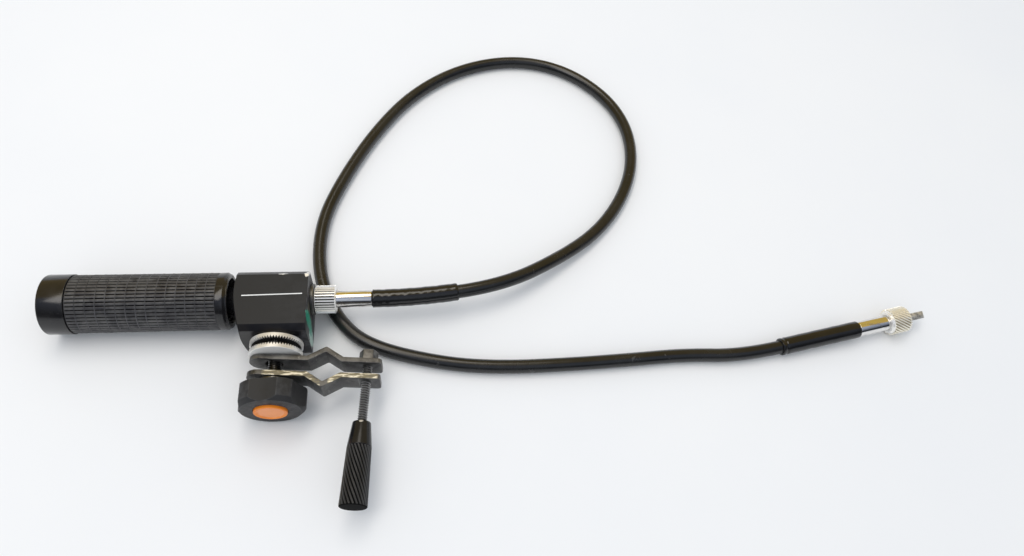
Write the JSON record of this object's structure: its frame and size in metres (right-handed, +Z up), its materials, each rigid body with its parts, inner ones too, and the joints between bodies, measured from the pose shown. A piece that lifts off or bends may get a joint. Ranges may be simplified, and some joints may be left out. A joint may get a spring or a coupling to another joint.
{
  "type": "manual focus control",
  "caption": "Hand grip that turns a flexible drive shaft through a small housing, with a toothed swivel joint and two-jaw bar clamp.",
  "frame": {"origin": "on the table under the drive axis, 20.25 mm in from the housing's outlet face, on the plane of the housing's resting face", "axes": "+X along the drive axis from the grip towards the flexible shaft, +Y away from the clamp, +Z up from the table"},
  "size_m": [0.5725, 0.3655, 0.0391],
  "materials": {
    "grip_rubber": "matte, moulded pads",
    "anodised": "black anodised alloy, satin",
    "housing_paint": "black satin paint, worn to metal at the edges",
    "steel": "bright machined steel",
    "dark_steel": "blackened steel, worn bright at the edges",
    "nickel": "nickel plate",
    "polished": "polished chrome",
    "bronze": "sintered bronze",
    "knob_plastic": "matte black moulding",
    "cap_plastic": "orange moulding",
    "cable_jacket": "glossy black jacket",
    "shrink_sleeve": "glossy shrink sleeve",
    "nylon": "natural nylon"
  },
  "bodies": {
    "housing": {"housing": "housing_paint", "bearing_flange": "housing_paint", "nose_bush": "bronze", "housing_bush": "bronze", "output_boss": "dark_steel", "fixed_rosette": "steel", "rosette_screws": "steel", "pivot_stud": "steel", "ferrule_near": "polished", "boot_near": "shrink_sleeve", "flexible_shaft": "cable_jacket", "boot_far": "shrink_sleeve", "ferrule_far": "polished"},
    "grip": {"grip_tube": "anodised", "grip_end_cap": "anodised", "grip_sleeve": "grip_rubber", "grip_collar": "anodised", "drive_hub": "steel", "hub_nut": "steel", "drag_washer": "nylon", "wave_spring": "steel", "drive_spindle": "steel", "spindle_clip": "steel", "core_square": "steel"},
    "near_nut": {"coupling_nut_near": "nickel"},
    "far_nut": {"coupling_nut_far": "nickel"},
    "far_tip": {"drive_tip_far": "dark_steel"},
    "washer": {"knob_washer": "steel"},
    "knob": {"star_knob": "knob_plastic", "knob_insert": "bronze", "knob_cap": "cap_plastic"},
    "loose_disc": {"loose_rosette": "steel"},
    "clamp": {"rear_jaw": "dark_steel"},
    "front_jaw": {"front_jaw": "dark_steel"},
    "screw": {"clamp_screw": "dark_steel", "screw_end_nut": "dark_steel", "clamp_handle": "anodised"}
  },
  "joints": [
    {"name": "grip_turn", "type": "hinge", "parent": "housing", "child": "grip", "pos_m": [0, 0, 0.0184], "axis": [1, 0, 0], "continuous": true},
    {"name": "tip_turn", "type": "hinge", "parent": "housing", "child": "far_tip", "pos_m": [0.42729, -0.01845, 0.00963], "axis": [0.9829, 0.1804, 0.0373], "continuous": true},
    {"name": "near_nut_turn", "type": "hinge", "parent": "housing", "child": "near_nut", "pos_m": [0.029, 0, 0.0184], "axis": [1, 0, 0], "continuous": true},
    {"name": "far_nut_turn", "type": "hinge", "parent": "housing", "child": "far_nut", "pos_m": [0.41579, -0.02056, 0.0092], "axis": [0.9829, 0.1804, 0.0373], "continuous": true},
    {"name": "clamp_draw", "type": "slide", "parent": "housing", "child": "washer", "axis": [0, 1, 0], "range_m": [0, 0.00286]},
    {"name": "knob_turn", "type": "hinge", "parent": "washer", "child": "knob", "pos_m": [0.00175, -0.065, 0.02], "axis": [0, 1, 0], "range_deg": [0, 822.86]},
    {"name": "clamp_swing", "type": "hinge", "parent": "washer", "child": "loose_disc", "pos_m": [0.00175, -0.04046, 0.02], "axis": [0, -1, 0], "continuous": true},
    {"name": "clamp_rock", "type": "hinge", "parent": "loose_disc", "child": "clamp", "pos_m": [-0.01305, -0.04051, 0.02], "axis": [0, 0, 1], "range_deg": [0, 4.2]},
    {"name": "screw_turn", "type": "hinge", "parent": "clamp", "child": "screw", "pos_m": [0.05686, -0.04564, 0.02], "axis": [0.0732, 0.9973, 0], "range_deg": [0, 1200]},
    {"name": "jaw_close", "type": "slide", "parent": "clamp", "child": "front_jaw", "axis": [0.0732, 0.9973, 0], "range_m": [0, 0.005]}
  ],
  "couplings": [
    {"joint": "tip_turn", "follows": "grip_turn", "ratio": 1},
    {"joint": "clamp_draw", "follows": "knob_turn", "m_per_rad": 0.00019894},
    {"joint": "clamp_rock", "follows": "knob_turn", "ratio": 0.0051042},
    {"joint": "jaw_close", "follows": "screw_turn", "m_per_rad": 0.00023873}
  ]
}
